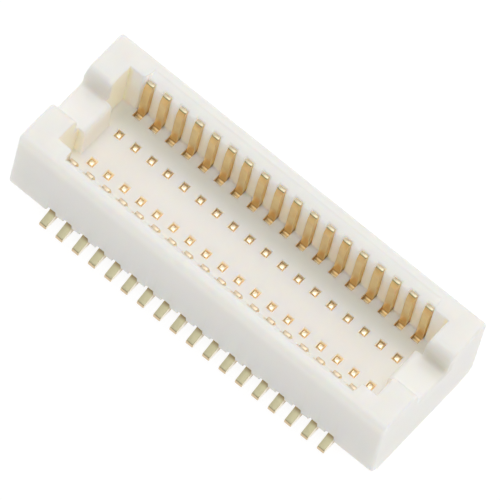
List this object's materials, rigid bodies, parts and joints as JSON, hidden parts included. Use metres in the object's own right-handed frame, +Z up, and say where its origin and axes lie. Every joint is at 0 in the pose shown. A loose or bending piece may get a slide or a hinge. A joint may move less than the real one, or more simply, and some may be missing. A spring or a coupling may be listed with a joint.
{
  "type": "pin header connector",
  "caption": "Surface-mount board connector header: open plastic housing with notched end walls and two facing rows of upright gold contacts with solder leads.",
  "frame": {"origin": "board plane under the middle of the connector", "axes": "+X along the contact rows, +Y toward the far row, +Z up from the board to the open rim"},
  "size_m": [0.011, 0.0044, 0.0026],
  "materials": {
    "ivory_plastic": "fine moulded matte, warm white",
    "gold_plate": "satin gold plating"
  },
  "bodies": {
    "root": {"housing": "ivory_plastic", "contact_far_01": "gold_plate", "contact_far_02": "gold_plate", "contact_far_03": "gold_plate", "contact_far_04": "gold_plate", "contact_far_05": "gold_plate", "contact_far_06": "gold_plate", "contact_far_07": "gold_plate", "contact_far_08": "gold_plate", "contact_far_09": "gold_plate", "contact_far_10": "gold_plate", "contact_far_11": "gold_plate", "contact_far_12": "gold_plate", "contact_far_13": "gold_plate", "contact_far_14": "gold_plate", "contact_far_15": "gold_plate", "contact_far_16": "gold_plate", "contact_far_17": "gold_plate", "contact_far_18": "gold_plate", "contact_near_01": "gold_plate", "contact_near_02": "gold_plate", "contact_near_03": "gold_plate", "contact_near_04": "gold_plate", "contact_near_05": "gold_plate", "contact_near_06": "gold_plate", "contact_near_07": "gold_plate", "contact_near_08": "gold_plate", "contact_near_09": "gold_plate", "contact_near_10": "gold_plate", "contact_near_11": "gold_plate", "contact_near_12": "gold_plate", "contact_near_13": "gold_plate", "contact_near_14": "gold_plate", "contact_near_15": "gold_plate", "contact_near_16": "gold_plate", "contact_near_17": "gold_plate", "contact_near_18": "gold_plate"}
  },
  "joints": []
}
